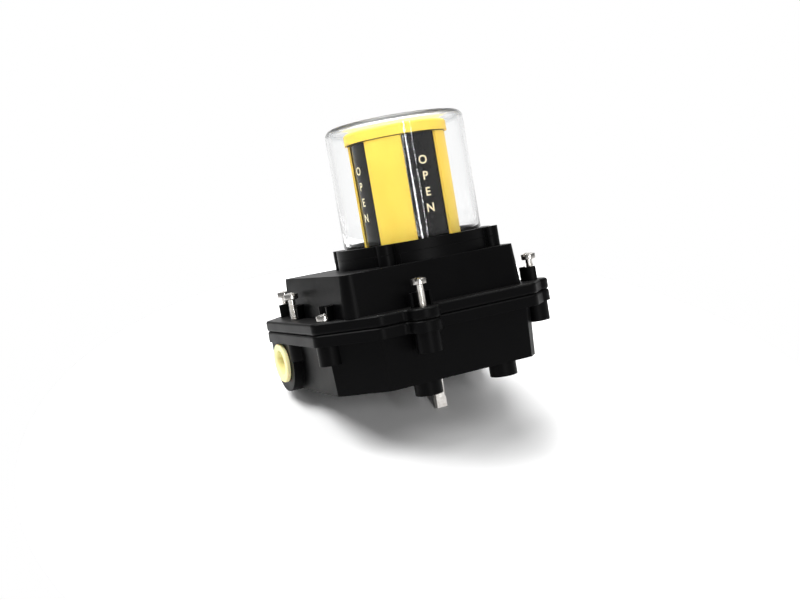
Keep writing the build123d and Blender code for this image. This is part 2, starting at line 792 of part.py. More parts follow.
with BuildPart() as dome_clamp_ring:
    with BuildSketch(Plane.XY.offset(pad_top)):
        add(clamp_shape())
        Circle(dome_radius + loose_gap, mode=Mode.SUBTRACT)
    extrude(amount=clamp_height)
    with BuildSketch(Plane.XY.offset(pad_top)):
        Circle(dome_flange_radius + loose_gap)
    extrude(amount=dome_flange_thickness, mode=Mode.SUBTRACT)
    with Locations(*[(x, y, pad_top + clamp_height) for x, y in clamp_screw_points]):
        CounterBoreHole(
            clamp_screw_radius + thread_gap,
            clamp_screw_head_radius + loose_gap,
            clamp_screw_head_height,
        )
save(dome_clamp_ring.part, "dome_clamp_ring")

clamp_head_level = pad_top + clamp_height - clamp_screw_head_height
with BuildPart() as dome_clamp_screws:
    with BuildSketch(Plane.XY.offset(clamp_head_level)):
        with Locations(*clamp_screw_points):
            Circle(clamp_screw_head_radius)
    extrude(amount=clamp_screw_head_height)
    with BuildSketch(Plane.XY.offset(clamp_head_level)):
        with Locations(*clamp_screw_points):
            Circle(clamp_screw_radius)
    extrude(amount=-clamp_screw_length)
    with BuildSketch(Plane.XY.offset(clamp_head_level + clamp_screw_head_height)):
        with Locations(*clamp_screw_points):
            RegularPolygon(clamp_socket_width / 2, 6, major_radius=False)
    extrude(amount=-clamp_socket_depth, mode=Mode.SUBTRACT)
save(dome_clamp_screws.part, "dome_clamp_screws")

# ================================================================ indicator drive train
lower_gear_level = gear_recess_floor + gear_lift
upper_gear_level = lower_gear_level + gear_face + gear_step
spindle_flange_level = spindle_boss_level - running_gap - spindle_flange_thickness

with BuildPart() as indicator_spindle:
    with BuildSketch(Plane.XY.offset(spindle_flange_level)):
        Circle(spindle_flange_radius)
    extrude(amount=spindle_flange_thickness)
    with BuildSketch(Plane.XY.offset(coupling_top - coupling_slot_depth + loose_gap)):
        Rectangle(2 * coupling_radius, coupling_slot_width - 2 * thread_gap)
    extrude(amount=spindle_flange_level - coupling_top + coupling_slot_depth - loose_gap)
    with BuildSketch(Plane.XY.offset(spindle_flange_level + spindle_flange_thickness)):
        Circle(spindle_radius)
    extrude(amount=lower_gear_level + gear_face - spindle_flange_level - spindle_flange_thickness)
    with BuildSketch(Plane.XY.offset(lower_gear_level + gear_face)):
        Circle(spindle_pin_radius)
    extrude(amount=spindle_pin_height)
save(indicator_spindle.part, "indicator_spindle")

with BuildPart() as spindle_gear:
    with BuildSketch(Plane.XY.offset(lower_gear_level)):
        add(gear_shape(spindle_gear_teeth, 90))
        Circle(spindle_radius + seat_gap, mode=Mode.SUBTRACT)
    extrude(amount=gear_face)
save(spindle_gear.part, "spindle_gear")

with BuildPart() as lay_gear:
    with BuildSketch(Plane.XY.offset(lower_gear_level)):
        with Locations(lay_point):
            add(gear_shape(lay_large_teeth, 270 + 180 / lay_large_teeth))
    extrude(amount=gear_face)
    with BuildSketch(Plane.XY.offset(lower_gear_level + gear_face)):
        with Locations(lay_point):
            add(gear_shape(lay_small_teeth, 270))
    extrude(amount=gear_face + gear_step)
    with BuildSketch(Plane.XY.offset(lower_gear_level)):
        with Locations(lay_point):
            Circle(lay_pin_radius + running_gap)
    extrude(amount=2 * gear_face + gear_step, mode=Mode.SUBTRACT)
save(lay_gear.part, "lay_gear")

with BuildPart() as lay_gear_pin:
    with BuildSketch(Plane.XY.offset(gear_recess_floor - lay_pin_depth)):
        with Locations(lay_point):
            Circle(lay_pin_radius)
    extrude(amount=lay_pin_depth + drum_floor_level - gear_recess_floor)
save(lay_gear_pin.part, "lay_gear_pin")

mask_gear_top = upper_gear_level + gear_face
with BuildPart() as mask_gear:
    with BuildSketch(Plane.XY.offset(upper_gear_level)):
        add(gear_shape(mask_gear_teeth, 90 + 180 / mask_gear_teeth))
        Circle(spindle_pin_radius + running_gap, mode=Mode.SUBTRACT)
    extrude(amount=gear_face)
save(mask_gear.part, "mask_gear")

# ================================================================ indicator drum and turning mask
with BuildPart() as indicator_drum:
    with BuildSketch(Plane.XY.offset(pad_top)):
        Circle(drum_radius)
        Circle(drum_radius - drum_wall, mode=Mode.SUBTRACT)
    extrude(amount=drum_top - pad_top)
    with BuildSketch(Plane.XY.offset(drum_floor_level)):
        Circle(drum_radius - drum_wall / 2)
        Circle(stem_radius + loose_gap, mode=Mode.SUBTRACT)
        with Locations(*drum_post_points):
            Circle(small_screw_radius + thread_gap, mode=Mode.SUBTRACT)
    extrude(amount=drum_floor_thickness)
save(indicator_drum.part, "indicator_drum")

drum_screws = slotted_screw(
    drum_post_points,
    drum_floor_level + drum_floor_thickness,
    small_screw_length,
    small_screw_radius,
    small_head_radius,
    small_head_height,
)
save(drum_screws, "drum_screws")

mask_cap_level = drum_top + mask_cap_rise
spindle_pin_top = lower_gear_level + gear_face + spindle_pin_height
with BuildPart() as mask_stem:
    with BuildSketch(Plane.XY.offset(mask_gear_top)):
        Circle(stem_radius)
    extrude(amount=mask_cap_level - mask_gear_top)
    with BuildSketch(Plane.XY.offset(mask_gear_top)):
        Circle(spindle_pin_radius + running_gap)
    extrude(amount=spindle_pin_top + loose_gap - mask_gear_top, mode=Mode.SUBTRACT)
    with Locations((0, 0, mask_cap_level)):
        Hole(mask_screw_radius + thread_gap, depth=mask_screw_length)
save(mask_stem.part, "mask_stem")

tab_bottom = pad_top + mask_tab_rise
tab_width = 2 * mask_radius * sin(radians(mask_tab_angle) / 2)
tab_height = mask_cap_level - tab_bottom + mask_tab_corner
with BuildPart() as mask_tabs:
    for quarter in range(4):
        facing = radians(indicator_offset + 45 + 90 * quarter)
        tab_plane = Plane(
            origin=(0, 0, tab_bottom + tab_height / 2),
            x_dir=(-sin(facing), cos(facing), 0),
            z_dir=(cos(facing), sin(facing), 0),
        )
        with BuildSketch(tab_plane):
            RectangleRounded(tab_width, tab_height, mask_tab_corner)
        extrude(amount=2 * mask_radius)
    with BuildSketch(Plane.XY.offset(tab_bottom)):
        Circle(mask_radius)
        Circle(mask_radius - mask_wall, mode=Mode.SUBTRACT)
    extrude(amount=mask_cap_level - tab_bottom, mode=Mode.INTERSECT)

with BuildPart() as indicator_mask:
    with BuildSketch(Plane.XY.offset(mask_cap_level)):
        Circle(mask_cap_radius)
    extrude(amount=mask_cap_thickness)
    fillet(indicator_mask.edges().group_by(Axis.Z)[-1], mask_cap_thickness / 4)
    add(mask_tabs.part)
    with Locations((0, 0, mask_cap_level + mask_cap_thickness)):
        CounterBoreHole(
            mask_screw_radius + thread_gap,
            mask_screw_head_radius + loose_gap,
            mask_screw_head_height,
        )
save(indicator_mask.part, "indicator_mask")

mask_screw = slotted_screw(
    [(0, 0)],
    mask_cap_level + mask_cap_thickness - mask_screw_head_height,
    mask_cap_thickness - mask_screw_head_height + mask_screw_length - loose_gap,
    mask_screw_radius,
    mask_screw_head_radius,
    mask_screw_head_height,
)
save(mask_screw, "mask_screw")

# ================================================================ captive cover screws
for points, lift, name in (
    (raised_screw_points, raised_screw_lift, "raised_cover_screws"),
    (driven_screw_points, 0, "driven_cover_screws"),
):
    screws = slotted_screw(
        points,
        flange_top + lift,
        screw_length,
        screw_radius,
        screw_head_radius,
        screw_head_height,
    )
    save(screws, name)
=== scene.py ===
"""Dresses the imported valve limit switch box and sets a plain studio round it."""

import json
import logging
import math
from dataclasses import dataclass
from enum import Enum
from typing import Any, Sequence

import bpy
from mathutils import Matrix, Vector


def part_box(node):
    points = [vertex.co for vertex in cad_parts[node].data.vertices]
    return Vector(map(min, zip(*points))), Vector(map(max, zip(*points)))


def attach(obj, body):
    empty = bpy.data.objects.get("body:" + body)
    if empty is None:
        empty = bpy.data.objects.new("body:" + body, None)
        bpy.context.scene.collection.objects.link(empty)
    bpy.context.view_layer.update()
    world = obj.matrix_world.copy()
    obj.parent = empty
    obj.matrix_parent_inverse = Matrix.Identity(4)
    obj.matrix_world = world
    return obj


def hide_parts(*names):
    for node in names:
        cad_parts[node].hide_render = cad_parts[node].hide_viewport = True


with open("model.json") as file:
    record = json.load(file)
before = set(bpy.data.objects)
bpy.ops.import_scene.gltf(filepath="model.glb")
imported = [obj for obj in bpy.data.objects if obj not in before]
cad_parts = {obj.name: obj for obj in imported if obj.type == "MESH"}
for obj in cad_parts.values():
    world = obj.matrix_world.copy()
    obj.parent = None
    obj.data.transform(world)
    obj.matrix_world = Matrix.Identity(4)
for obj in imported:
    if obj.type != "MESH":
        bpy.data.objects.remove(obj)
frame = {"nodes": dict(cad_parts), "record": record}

logging.basicConfig(level=logging.INFO, format="%(message)s")
log = logging.getLogger("switch_box")

Color = tuple[float, float, float, float]
Outline = Sequence[tuple[float, float]]

UP = Vector((0.0, 0.0, 1.0))
RIGHT = Vector((1.0, 0.0, 0.0))
WELD = 1e-6


# ---------------------------------------------------------------- shader maths


class Wire:
    """A node's output socket, whose arithmetic adds Math nodes to its shader."""

    def __init__(self, shader: "Shader", socket: bpy.types.NodeSocket) -> None:
        """Keep the shader that owns the socket, and the socket."""
        self.shader = shader
        self.socket = socket

    def math(self, operation: str, first: Any, second: Any = 0.0, clamp: bool = False) -> "Wire":
        """Add a Math node.

        Args:
            operation: name of the Math node's operation.
            first: wire or number for the first socket.
            second: wire or number for the second socket.
            clamp: whether the result is kept between 0 and 1.

        Returns:
            The Math node's result.
        """
        settings = {"operation": operation, "use_clamp": clamp}
        return self.shader.node("ShaderNodeMath", settings, {0: first, 1: second})

    def __add__(self, other: Any) -> "Wire":
        """Sum of the wire and another value."""
        return self.math("ADD", self, other)

    def __sub__(self, other: Any) -> "Wire":
        """The wire less another value."""
        return self.math("SUBTRACT", self, other)

    def __rsub__(self, other: Any) -> "Wire":
        """Another value less the wire."""
        return self.math("SUBTRACT", other, self)

    def __mul__(self, other: Any) -> "Wire":
        """Product of the wire and another value."""
        return self.math("MULTIPLY", self, other)

    def __truediv__(self, other: Any) -> "Wire":
        """The wire divided by another value."""
        return self.math("DIVIDE", self, other)

    def __pow__(self, other: Any) -> "Wire":
        """The wire raised to a power."""
        return self.math("POWER", self, other)

    __radd__ = __add__
    __rmul__ = __mul__

    def clipped(self) -> "Wire":
        """The wire kept between 0 and 1."""
        return self.math("ADD", self, 0.0, clamp=True)


class Shader:
    """The node tree of one material or world."""

    def __init__(self, owner: Any) -> None:
        """Empty the owner's node tree.

        Args:
            owner: material or world whose nodes are made here.
        """
        owner.use_nodes = True
        self.owner = owner
        self.tree = owner.node_tree
        self.tree.nodes.clear()

    def node(self, kind: str, settings: dict[str, Any], inputs: dict[Any, Any], output: Any = 0) -> Any:
        """Add any node.

        Args:
            kind: the node's type.
            settings: attributes set first; "stops" fills a colour ramp.
            inputs: value or wire of each input socket, by name or number.
            output: name or number of the output that is returned.

        Returns:
            The chosen output, or None of a node that has no outputs.
        """
        made = self.tree.nodes.new(kind)
        for key, value in settings.items():
            if key == "stops":
                ramp = made.color_ramp.elements
                for index, (place, shade) in enumerate(value):
                    stop = ramp[index] if index < len(ramp) else ramp.new(place)
                    stop.position = place
                    stop.color = shade
            else:
                setattr(made, key, value)
        for key, value in inputs.items():
            if isinstance(value, Wire):
                self.tree.links.new(value.socket, made.inputs[key])
            else:
                made.inputs[key].default_value = value
        return Wire(self, made.outputs[output]) if made.outputs else None

    def place(self, scale: tuple[float, float, float] = (1.0, 1.0, 1.0)) -> Wire:
        """Object coordinates, stretched by a scale along each axis."""
        where = self.node("ShaderNodeTexCoord", {}, {}, "Object")
        return self.node("ShaderNodeMapping", {}, {"Vector": where, "Scale": scale})

    def noise(self, where: Wire, scale: float, detail: float = 2.0) -> Wire:
        """Noise between 0 and 1, with so many cells to a metre."""
        return self.node("ShaderNodeTexNoise", {}, {"Vector": where, "Scale": scale, "Detail": detail})

    def tint(self, factor: Any, first: Color, second: Color) -> Wire:
        """Blend of two colours."""
        settings = {"data_type": "RGBA"}
        return self.node("ShaderNodeMix", settings, {0: factor, 6: first, 7: second}, 2)

    def bump(self, height: Wire, distance: float, strength: float = 1.0, normal: Any = None) -> Wire:
        """Normal of a surface raised by the height times the distance in metres."""
        inputs = {"Height": height, "Distance": distance, "Strength": strength}
        if normal is not None:
            inputs["Normal"] = normal
        return self.node("ShaderNodeBump", {}, inputs)

    def finish(self, surface: Wire) -> Any:
        """Join the surface to the output and return the owner."""
        self.node("ShaderNodeOutputMaterial", {}, {"Surface": surface})
        return self.owner


# ---------------------------------------------------------------- finishes


def new_shader(name: str) -> Shader:
    """Shader of a new material with that name."""
    return Shader(bpy.data.materials.new(name))


@dataclass(frozen=True)
class CastCoat:
    """Smooth baked coat over a casting: fine orange peel, eased edges and a trace of dust on top."""

    name: str
    color: Color
    dust_color: Color
    roughness: float
    specular: float
    peel_scale: float = 900.0
    peel_depth: float = 0.00002
    cloud_scale: float = 60.0
    cloud_spread: float = 0.14
    edge_radius: float = 0.0006
    dust_share: float = 0.25

    def material(self) -> bpy.types.Material:
        """Build the coat's material."""
        shader = new_shader(self.name)
        where = shader.place()
        peel = shader.noise(where, self.peel_scale)
        cloud = shader.noise(where, self.cloud_scale, 5.0)
        eased = shader.node("ShaderNodeBevel", {"samples": 4}, {"Radius": self.edge_radius})
        facing = shader.node("ShaderNodeNewGeometry", {}, {}, "Normal")
        upward = shader.node("ShaderNodeSeparateXYZ", {}, {0: facing}, "Z")
        dust = (upward * self.dust_share * cloud).clipped()
        surface = shader.node(
            "ShaderNodeBsdfPrincipled",
            {},
            {
                "Base Color": shader.tint(dust, self.color, self.dust_color),
                "Roughness": (cloud - 0.5) * self.cloud_spread + self.roughness,
                "Specular IOR Level": self.specular,
                "Normal": shader.bump(peel, self.peel_depth, 1.0, eased),
            },
        )
        return shader.finish(surface)


@dataclass(frozen=True)
class TurnedMetal:
    """Bare metal with fine tool marks round the upright axis and small stains."""

    name: str
    color: Color
    stain_color: Color
    roughness: float
    mark_pitch: float = 0.00012
    mark_depth: float = 0.000004
    mark_spread: float = 0.16
    stain_scale: float = 350.0
    stain_share: float = 1.4
    metallic: float = 1.0

    def material(self) -> bpy.types.Material:
        """Build the metal's material."""
        shader = new_shader(self.name)
        marks = shader.noise(shader.place((0.04, 0.04, 1.0)), 1.0 / self.mark_pitch, 1.0)
        stain = shader.noise(shader.place(), self.stain_scale, 4.0)
        surface = shader.node(
            "ShaderNodeBsdfPrincipled",
            {},
            {
                "Base Color": shader.tint((stain**3.0) * self.stain_share, self.color, self.stain_color),
                "Roughness": (marks - 0.5) * self.mark_spread + self.roughness,
                "Metallic": self.metallic,
                "Normal": shader.bump(marks, self.mark_depth),
            },
        )
        return shader.finish(surface)


@dataclass(frozen=True)
class MouldedPlastic:
    """Moulded plastic or rubber: faint flow marks, fine grain and a little light let through."""

    name: str
    color: Color
    shade_color: Color
    roughness: float
    grain_scale: float = 1400.0
    grain_depth: float = 0.000008
    grain_spread: float = 0.1
    flow_scale: float = 70.0
    glow: float = 0.0
    glow_depth: float = 0.002
    edge_radius: float = 0.0003

    def material(self) -> bpy.types.Material:
        """Build the plastic's material."""
        shader = new_shader(self.name)
        flow = shader.noise(shader.place((1.0, 1.0, 0.35)), self.flow_scale, 3.0)
        grain = shader.noise(shader.place(), self.grain_scale)
        eased = shader.node("ShaderNodeBevel", {"samples": 4}, {"Radius": self.edge_radius})
        surface = shader.node(
            "ShaderNodeBsdfPrincipled",
            {},
            {
                "Base Color": shader.tint(flow, self.color, self.shade_color),
                "Roughness": (grain - 0.5) * self.grain_spread + self.roughness,
                "Subsurface Weight": self.glow,
                "Subsurface Scale": self.glow_depth,
                "Normal": shader.bump(grain, self.grain_depth, 1.0, eased),
            },
        )
        return shader.finish(surface)


@dataclass(frozen=True)
class ClearMoulding:
    """Clear moulded plastic with faint smears; where the wall turns over at the top edge it is rougher and
    tinted grey, a painted shade standing in for the grey band that light through the rim shows.
    """

    name: str
    color: Color
    painted_rim_shade_color: Color
    smear_color: Color
    edge_level: float
    edge_reach: float
    edge_width: float
    edge_roughness: float
    index: float
    smear_scale: float = 70.0
    smear_start: float = 0.56
    smear_rise: float = 5.0

    def material(self) -> bpy.types.Material:
        """Build the clear material."""
        shader = new_shader(self.name)
        where = shader.place()
        level = shader.node("ShaderNodeSeparateXYZ", {}, {0: where}, "Z")
        flat = shader.node("ShaderNodeVectorMath", {"operation": "MULTIPLY"}, {0: where, 1: (1.0, 1.0, 0.0)})
        reach = shader.node("ShaderNodeVectorMath", {"operation": "LENGTH"}, {0: flat}, "Value")
        high = ((level - self.edge_level) / self.edge_width).clipped()
        outer = ((reach - self.edge_reach) / self.edge_width).clipped()
        # Top rim band: rougher, and tinted grey as painted shade for the grey band that light makes through the
        # rim.
        edge = high * outer
        haze = shader.noise(shader.place((1.0, 1.0, 0.4)), self.smear_scale, 4.0)
        smear = ((haze - self.smear_start) * self.smear_rise).clipped()
        shell = shader.tint(smear, self.color, self.smear_color)
        surface = shader.node(
            "ShaderNodeBsdfPrincipled",
            {},
            {
                "Base Color": shader.tint(edge, shell, self.painted_rim_shade_color),
                "Roughness": edge * self.edge_roughness,
                "Transmission Weight": 1.0,
                "IOR": self.index,
            },
        )
        return shader.finish(surface)


@dataclass(frozen=True)
class GlossFilm:
    """Glossy black film laid on a drum, whose surface ripples along the drum."""

    name: str
    color: Color
    dust_color: Color
    roughness: float
    specular: float = 0.16
    ripple_scale: float = 90.0
    ripple_depth: float = 0.0006
    ripple_strength: float = 0.6
    dust_scale: float = 500.0
    dust_spread: float = 0.04

    def material(self) -> bpy.types.Material:
        """Build the film's material."""
        shader = new_shader(self.name)
        ripple = shader.noise(shader.place((1.0, 1.0, 0.3)), self.ripple_scale, 1.5)
        dust = shader.noise(shader.place(), self.dust_scale, 4.0)
        surface = shader.node(
            "ShaderNodeBsdfPrincipled",
            {},
            {
                "Base Color": shader.tint((dust**4.0).clipped(), self.color, self.dust_color),
                "Roughness": dust * self.dust_spread + self.roughness,
                "Specular IOR Level": self.specular,
                "Normal": shader.bump(ripple, self.ripple_depth, self.ripple_strength),
            },
        )
        return shader.finish(surface)


class Slot(Enum):
    """The record's material slots."""

    COAT = "black_coat"
    STAINLESS = "stainless"
    BLACK_STEEL = "black_steel"
    BRONZE = "bronze"
    RUBBER = "seal_rubber"
    YELLOW = "yellow_plastic"
    BLACK = "black_plastic"
    CLEAR = "clear_dome"
    PLUG = "plug_plastic"
    GEAR = "gear_plastic"
    RED_CAM = "cam_plastic"
    GREEN_CAM = "cam_green"
    SENSOR = "sensor_plastic"
    ZINC = "zinc_plate"
    TERMINAL = "terminal_plastic"


def shade(red: float, green: float, blue: float) -> Color:
    """Opaque colour."""
    return (red, green, blue, 1.0)


FINISHES: dict[Slot, Any] = {
    Slot.COAT: CastCoat(
        "black_coat_finish", shade(0.0016, 0.0016, 0.0018), shade(0.03, 0.029, 0.028), 0.4, 0.06
    ),
    Slot.STAINLESS: TurnedMetal("stainless_finish", shade(0.78, 0.76, 0.73), shade(0.42, 0.38, 0.33), 0.24),
    Slot.BLACK_STEEL: TurnedMetal(
        "black_steel_finish", shade(0.012, 0.012, 0.013), shade(0.05, 0.045, 0.04), 0.4, metallic=0.4
    ),
    Slot.BRONZE: TurnedMetal("bronze_finish", shade(0.62, 0.42, 0.2), shade(0.3, 0.17, 0.07), 0.38),
    Slot.RUBBER: MouldedPlastic(
        "seal_rubber_finish", shade(0.012, 0.012, 0.012), shade(0.03, 0.03, 0.03), 0.7
    ),
    Slot.YELLOW: MouldedPlastic("yellow_finish", shade(1.0, 0.58, 0.04), shade(1.0, 0.8, 0.1), 0.48),
    Slot.BLACK: GlossFilm("black_film_finish", shade(0.0015, 0.0015, 0.0015), shade(0.03, 0.03, 0.03), 0.02),
    Slot.CLEAR: ClearMoulding(
        "clear_finish",
        shade(0.995, 0.998, 0.998),
        # Rim grey: painted shade for the band that light through the dome's top rim shows.
        shade(0.8, 0.82, 0.83),
        shade(0.93, 0.935, 0.94),
        edge_level=0.1615,
        edge_reach=0.0385,
        edge_width=0.002,
        edge_roughness=0.35,
        index=1.32,
    ),
    Slot.PLUG: MouldedPlastic("plug_finish", shade(0.9, 0.82, 0.36), shade(0.94, 0.88, 0.5), 0.45, glow=0.15),
    Slot.GEAR: MouldedPlastic("gear_finish", shade(0.84, 0.81, 0.72), shade(0.9, 0.88, 0.82), 0.42, glow=0.1),
    Slot.RED_CAM: MouldedPlastic("red_cam_finish", shade(0.62, 0.04, 0.025), shade(0.72, 0.07, 0.04), 0.4),
    Slot.GREEN_CAM: MouldedPlastic("green_cam_finish", shade(0.02, 0.28, 0.09), shade(0.04, 0.36, 0.13), 0.4),
    Slot.SENSOR: MouldedPlastic("sensor_finish", shade(0.02, 0.02, 0.023), shade(0.035, 0.035, 0.04), 0.5),
    Slot.ZINC: TurnedMetal("zinc_finish", shade(0.66, 0.67, 0.69), shade(0.45, 0.46, 0.5), 0.36),
    Slot.TERMINAL: MouldedPlastic("terminal_finish", shade(0.42, 0.45, 0.43), shade(0.5, 0.52, 0.5), 0.5),
}
WORD_INK = MouldedPlastic(
    "word_ink", shade(0.92, 0.82, 0.5), shade(0.96, 0.88, 0.6), 0.45, edge_radius=0.00002
)


class Wardrobe:
    """Makes each finish once and hands it to the pieces that wear it."""

    def __init__(self) -> None:
        """Start with nothing made."""
        self.made: dict[str, bpy.types.Material] = {}

    def wear(self, piece: bpy.types.Object, finish: Any) -> None:
        """Give a piece one finish in every material slot."""
        if finish.name not in self.made:
            self.made[finish.name] = finish.material()
        if not piece.material_slots:
            piece.data.materials.append(None)
        for holder in piece.material_slots:
            holder.material = self.made[finish.name]


# ---------------------------------------------------------------- modelling


def deselect() -> None:
    """Leave edit mode and select nothing."""
    if bpy.context.object is not None and bpy.context.object.mode != "OBJECT":
        bpy.ops.object.mode_set(mode="OBJECT")
    bpy.ops.object.select_all(action="DESELECT")


def pick(*pieces: bpy.types.Object) -> None:
    """Select these pieces only, the first of them active."""
    deselect()
    for piece in pieces:
        piece.select_set(True)
    bpy.context.view_layer.objects.active = pieces[0]


def apply_modifier(piece: bpy.types.Object, kind: str, **settings: Any) -> None:
    """Add a modifier with these settings and apply it.

    Args:
        piece: mesh that gets the modifier.
        kind: the modifier's type.
        **settings: the modifier's attributes.
    """
    pick(piece)
    modifier = piece.modifiers.new(kind.lower(), kind)
    for key, value in settings.items():
        setattr(modifier, key, value)
    bpy.ops.object.modifier_apply(modifier=modifier.name)


def draw_outline(points: Sequence[Vector]) -> bpy.types.Object:
    """Draw a chain of edges, extruding one vertex from place to place.

    Args:
        points: places of the vertices in turn.

    Returns:
        The new mesh object, in edit mode with all selected.
    """
    deselect()
    bpy.ops.mesh.primitive_plane_add(size=0.001, location=points[0])
    piece = bpy.context.object
    bpy.ops.object.transform_apply(location=True, rotation=True, scale=True)
    bpy.ops.object.mode_set(mode="EDIT")
    bpy.ops.mesh.select_all(action="SELECT")
    bpy.ops.mesh.merge(type="CENTER")
    for here, there in zip(points, points[1:]):
        bpy.ops.mesh.extrude_region_move(TRANSFORM_OT_translate={"value": there - here})
    bpy.ops.mesh.select_all(action="SELECT")
    return piece


def settle(piece: bpy.types.Object, name: str, smooth_angle: float = 40.0) -> bpy.types.Object:
    """Weld a mesh in edit mode, turn its faces outwards and shade it.

    Args:
        piece: the mesh object.
        name: its new name.
        smooth_angle: edges sharper than this, in degrees, stay crisp.

    Returns:
        The same object, in object mode.
    """
    bpy.ops.mesh.select_all(action="SELECT")
    bpy.ops.mesh.remove_doubles(threshold=WELD)
    bpy.ops.mesh.normals_make_consistent(inside=False)
    bpy.ops.object.mode_set(mode="OBJECT")
    piece.name = name
    piece.data.name = name
    pick(piece)
    bpy.ops.object.shade_smooth_by_angle(angle=math.radians(smooth_angle))
    return piece


def lathe(
    name: str,
    outline: Outline,
    steps: int,
    foot: Vector = Vector(),
    axis: Vector = UP,
    side: Vector = RIGHT,
) -> bpy.types.Object:
    """Turn an outline a full circle about an axis.

    Args:
        name: the piece's name.
        outline: (radius, distance along the axis) of each point, in metres, ending on the axis or at its start.
        steps: divisions of the circle.
        foot: a point on the axis.
        axis: direction of the axis.
        side: direction in which the radius is measured.

    Returns:
        The turned piece.
    """
    points = [foot + side * radius + axis * along for radius, along in outline]
    piece = draw_outline(points)
    bpy.ops.mesh.spin(steps=steps, angle=2 * math.pi, center=foot, axis=axis)
    return settle(piece, name)


def arc(
    center: tuple[float, float], radius: float, start: float, end: float, steps: int
) -> list[tuple[float, float]]:
    """Points along an arc, its angles in degrees from the first axis."""
    angles = [math.radians(start + (end - start) * step / steps) for step in range(steps + 1)]
    return [(center[0] + radius * math.cos(angle), center[1] + radius * math.sin(angle)) for angle in angles]


def join(name: str, pieces: Sequence[bpy.types.Object]) -> bpy.types.Object:
    """Join pieces into one and name it."""
    pick(*pieces)
    if len(pieces) > 1:
        bpy.ops.object.join()
    joined = bpy.context.object
    joined.name = name
    joined.data.name = name
    return joined


def copy_of(piece: bpy.types.Object, matrix: Matrix) -> bpy.types.Object:
    """Copy of a piece with its own mesh, moved by the matrix and its place applied."""
    twin = piece.copy()
    twin.data = piece.data.copy()
    bpy.context.scene.collection.objects.link(twin)
    twin.matrix_world = matrix
    pick(twin)
    bpy.ops.object.transform_apply(location=True, rotation=True, scale=True)
    return twin


def discard(piece: bpy.types.Object) -> None:
    """Remove a piece that only helped to make others."""
    bpy.data.objects.remove(piece, do_unlink=True)


def stations(node: str, reach: float) -> list[tuple[Vector, Vector]]:
    """Tell a node's separate solids apart by their distance in plan.

    Args:
        node: name of the CAD node.
        reach: two points further apart than this belong to different solids.

    Returns:
        The lowest and highest corners of each solid.
    """
    groups: list[list[Vector]] = []
    for vertex in frame["nodes"][node].data.vertices:
        for group in groups:
            if (vertex.co.xy - group[0].xy).length < reach:
                group.append(vertex.co.copy())
                break
        else:
            groups.append([vertex.co.copy()])
    corners = []
    for group in groups:
        low = Vector([min(point[axis] for point in group) for axis in range(3)])
        high = Vector([max(point[axis] for point in group) for axis in range(3)])
        corners.append((low, high))
    return corners


# ---------------------------------------------------------------- sub-assemblies


